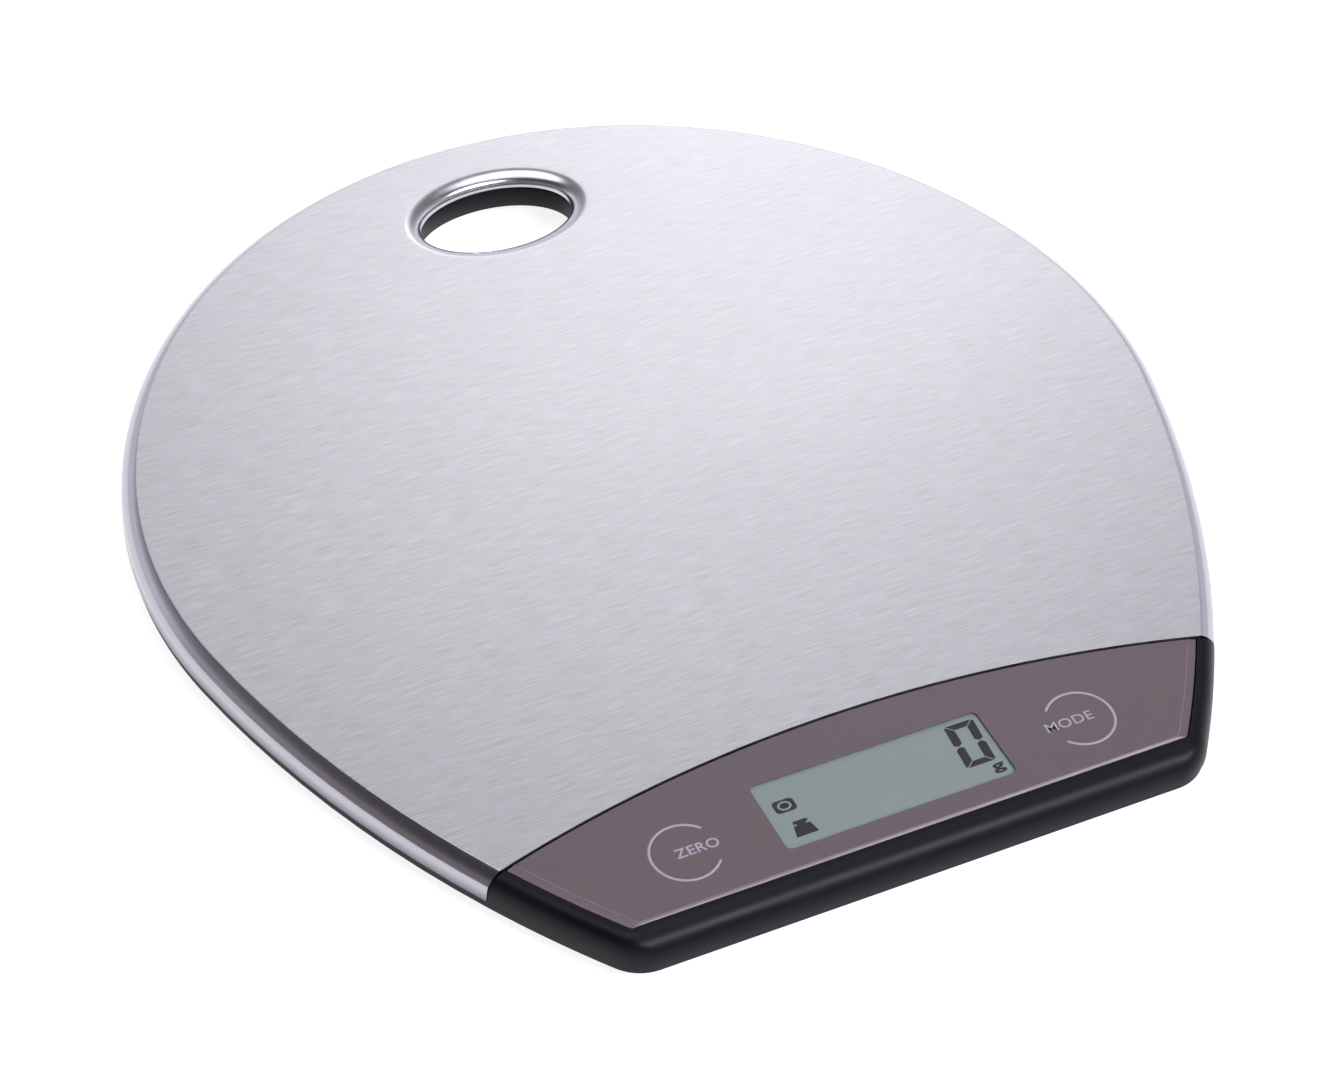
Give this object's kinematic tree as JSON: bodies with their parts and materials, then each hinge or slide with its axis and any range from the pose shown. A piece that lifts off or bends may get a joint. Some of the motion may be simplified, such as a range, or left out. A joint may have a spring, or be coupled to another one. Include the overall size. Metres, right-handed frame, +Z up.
{
  "type": "kitchen scale",
  "caption": "Slim kitchen scale: round brushed steel weighing platform with an oval hang hole, a smoked front control panel with display and touch keys, black housing.",
  "frame": {"origin": "middle of the body on the resting surface, under the feet", "axes": "+Z up from the resting surface to the weighing surface, -Y to the display, +X to the right hand of a user who faces the display"},
  "size_m": [0.22, 0.23, 0.012],
  "materials": {
    "brushed_cover": "brushed across the width, polished rim",
    "black_housing": "satin gloss black ABS",
    "base_plastic": "fine spark-eroded texture",
    "panel": "back-printed clear acrylic, warm grey",
    "tape": "double-sided foam tape",
    "display_glass": "polarised display glass",
    "display_reflector": "grey-green reflector film",
    "white_plastic": "natural moulding",
    "elastomer": "layered conductive rubber",
    "circuit_board": "solder mask over glass epoxy",
    "epoxy": "cured black potting",
    "nickel": "nickel plated steel",
    "spring_steel": "drawn spring steel",
    "screw_steel": "zinc plated",
    "cell_steel": "stamped spring steel plate",
    "gauge_coating": "white silicone over the strain gauge",
    "foot_rubber": "matt non-slip rubber",
    "lead_sleeve": "three-core lead in a soft sleeve"
  },
  "bodies": {
    "housing": {"platform_cover": "brushed_cover", "upper_housing": "black_housing", "control_panel": "panel", "panel_tape": "tape", "lcd_front_glass": "display_glass", "lcd_rear_glass": "display_glass", "lcd_reflector": "display_reflector", "lcd_frame": "white_plastic", "lcd_connector": "elastomer", "main_board": "circuit_board", "controller_chip": "epoxy", "crystal": "nickel", "capacitor_left": "epoxy", "capacitor_right": "epoxy", "touch_spring_zero": "spring_steel", "touch_spring_mode": "spring_steel", "board_screw_left": "screw_steel", "board_screw_right": "screw_steel", "base_cover": "base_plastic", "coin_cell": "nickel", "battery_contact_negative": "spring_steel", "battery_contact_positive": "spring_steel", "housing_screw_front_left": "screw_steel", "housing_screw_front_right": "screw_steel", "housing_screw_side_left": "screw_steel", "housing_screw_side_right": "screw_steel", "housing_screw_rear_left": "screw_steel", "housing_screw_rear_right": "screw_steel", "load_cell_front_left": "cell_steel", "strain_gauge_front_left": "gauge_coating", "cell_retainer_front_left": "white_plastic", "load_cell_front_right": "cell_steel", "strain_gauge_front_right": "gauge_coating", "cell_retainer_front_right": "white_plastic", "load_cell_rear_left": "cell_steel", "strain_gauge_rear_left": "gauge_coating", "cell_retainer_rear_left": "white_plastic", "load_cell_rear_right": "cell_steel", "strain_gauge_rear_right": "gauge_coating", "cell_retainer_rear_right": "white_plastic", "sensor_lead_front_left": "lead_sleeve", "sensor_lead_rear_left": "lead_sleeve", "sensor_lead_front_right": "lead_sleeve", "sensor_lead_rear_right": "lead_sleeve"},
    "battery_door": {"battery_door": "base_plastic"},
    "foot_front_left": {"foot_pad_front_left": "foot_rubber", "foot_carrier_front_left": "base_plastic"},
    "foot_front_right": {"foot_pad_front_right": "foot_rubber", "foot_carrier_front_right": "base_plastic"},
    "foot_rear_left": {"foot_pad_rear_left": "foot_rubber", "foot_carrier_rear_left": "base_plastic"},
    "foot_rear_right": {"foot_pad_rear_right": "foot_rubber", "foot_carrier_rear_right": "base_plastic"}
  },
  "joints": [
    {"name": "foot_travel_front_left", "type": "slide", "parent": "housing", "child": "foot_front_left", "axis": [0, 0, 1], "range_m": [0, 0.0003], "stiffness_N_per_m": 300},
    {"name": "foot_travel_front_right", "type": "slide", "parent": "housing", "child": "foot_front_right", "axis": [0, 0, 1], "range_m": [0, 0.0003], "stiffness_N_per_m": 300},
    {"name": "foot_travel_rear_left", "type": "slide", "parent": "housing", "child": "foot_rear_left", "axis": [0, 0, 1], "range_m": [0, 0.0003], "stiffness_N_per_m": 300},
    {"name": "foot_travel_rear_right", "type": "slide", "parent": "housing", "child": "foot_rear_right", "axis": [0, 0, 1], "range_m": [0, 0.0003], "stiffness_N_per_m": 300},
    {"name": "battery_door_hinge", "type": "hinge", "parent": "housing", "child": "battery_door", "pos_m": [0, -0.0356, 0.0038], "axis": [1, 0, 0], "range_deg": [0, 80]}
  ]
}
